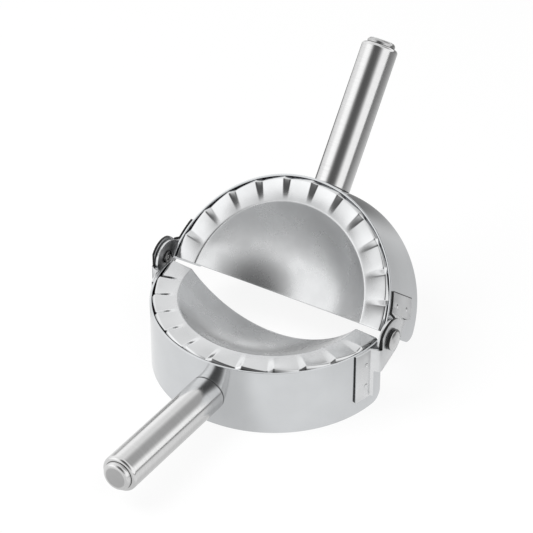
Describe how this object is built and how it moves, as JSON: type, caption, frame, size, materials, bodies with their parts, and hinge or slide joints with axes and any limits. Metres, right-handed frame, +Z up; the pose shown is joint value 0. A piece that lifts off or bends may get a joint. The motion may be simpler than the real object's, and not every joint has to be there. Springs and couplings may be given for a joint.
{
  "type": "empanada press",
  "caption": "Hinged stainless-steel dough press: two half-round cutting rings with toothed crimping bowls and tube handles that fold together to seal a filled pastry.",
  "frame": {"origin": "middle of the hinge line, projected straight down onto the surface on which the front half stands", "axes": "+X along the hinge line to the right-hand hinge, +Y towards the folding rear half, +Z up"},
  "size_m": [0.135, 0.2401, 0.1321],
  "materials": {
    "ring_polished": "mirror-polished stainless sheet",
    "bowl_polished": "bright pressed stainless sheet",
    "bracket_sheet": "satin stainless sheet",
    "handle_brushed": "fine circumferential brushing",
    "handle_cap": "satin face, polished rim",
    "rivet_polished": "polished",
    "hidden_steel": "plain turned steel"
  },
  "bodies": {
    "front_half": {"front_ring": "ring_polished", "front_crimp_bowl": "bowl_polished", "front_bracket_left": "bracket_sheet", "front_bracket_right": "bracket_sheet", "front_handle_tube": "handle_brushed", "front_handle_cap": "handle_cap", "front_handle_plug": "hidden_steel", "hinge_rivet_left": "rivet_polished", "hinge_rivet_right": "rivet_polished", "hinge_washer_left": "hidden_steel", "hinge_washer_right": "hidden_steel"},
    "rear_half": {"rear_ring": "ring_polished", "rear_crimp_bowl": "bowl_polished", "rear_bracket_left": "bracket_sheet", "rear_bracket_right": "bracket_sheet", "rear_handle_tube": "handle_brushed", "rear_handle_cap": "handle_cap", "rear_handle_plug": "hidden_steel"}
  },
  "joints": [
    {"name": "hinge", "type": "hinge", "parent": "front_half", "child": "rear_half", "pos_m": [0, 0, 0.0361], "axis": [1, 0, 0], "range_deg": [-50, 130]}
  ]
}
